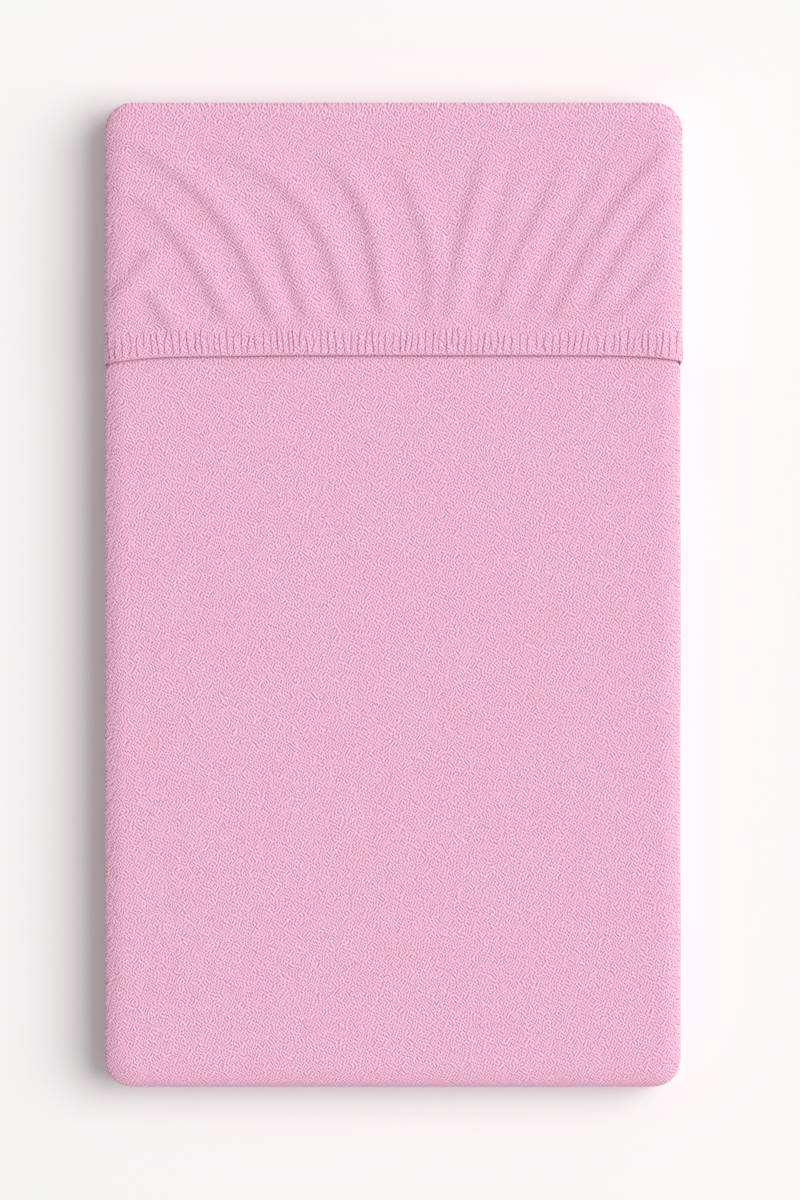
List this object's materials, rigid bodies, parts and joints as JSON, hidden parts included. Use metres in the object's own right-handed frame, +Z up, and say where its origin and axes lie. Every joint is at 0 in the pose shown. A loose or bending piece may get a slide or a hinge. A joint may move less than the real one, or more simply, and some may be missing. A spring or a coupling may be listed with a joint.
{
  "type": "folded fitted sheet",
  "caption": "Terry fitted sheet folded into a flat pack, held by its own gathered head end turned over the top.",
  "frame": {"origin": "on the surface that the pack lies on, below the middle of its outline", "axes": "+Z up, out of the pack's front, where the hem shows; +Y along the pack, towards its gathered head end; +X across the pack, to the right when it is seen from the front with the head end up"},
  "size_m": [0.2505, 0.427, 0.0242],
  "materials": {
    "pink_terry": "soft matt looped terry, candy pink"
  },
  "bodies": {
    "root": {"fitted_sheet": "pink_terry"}
  },
  "joints": []
}
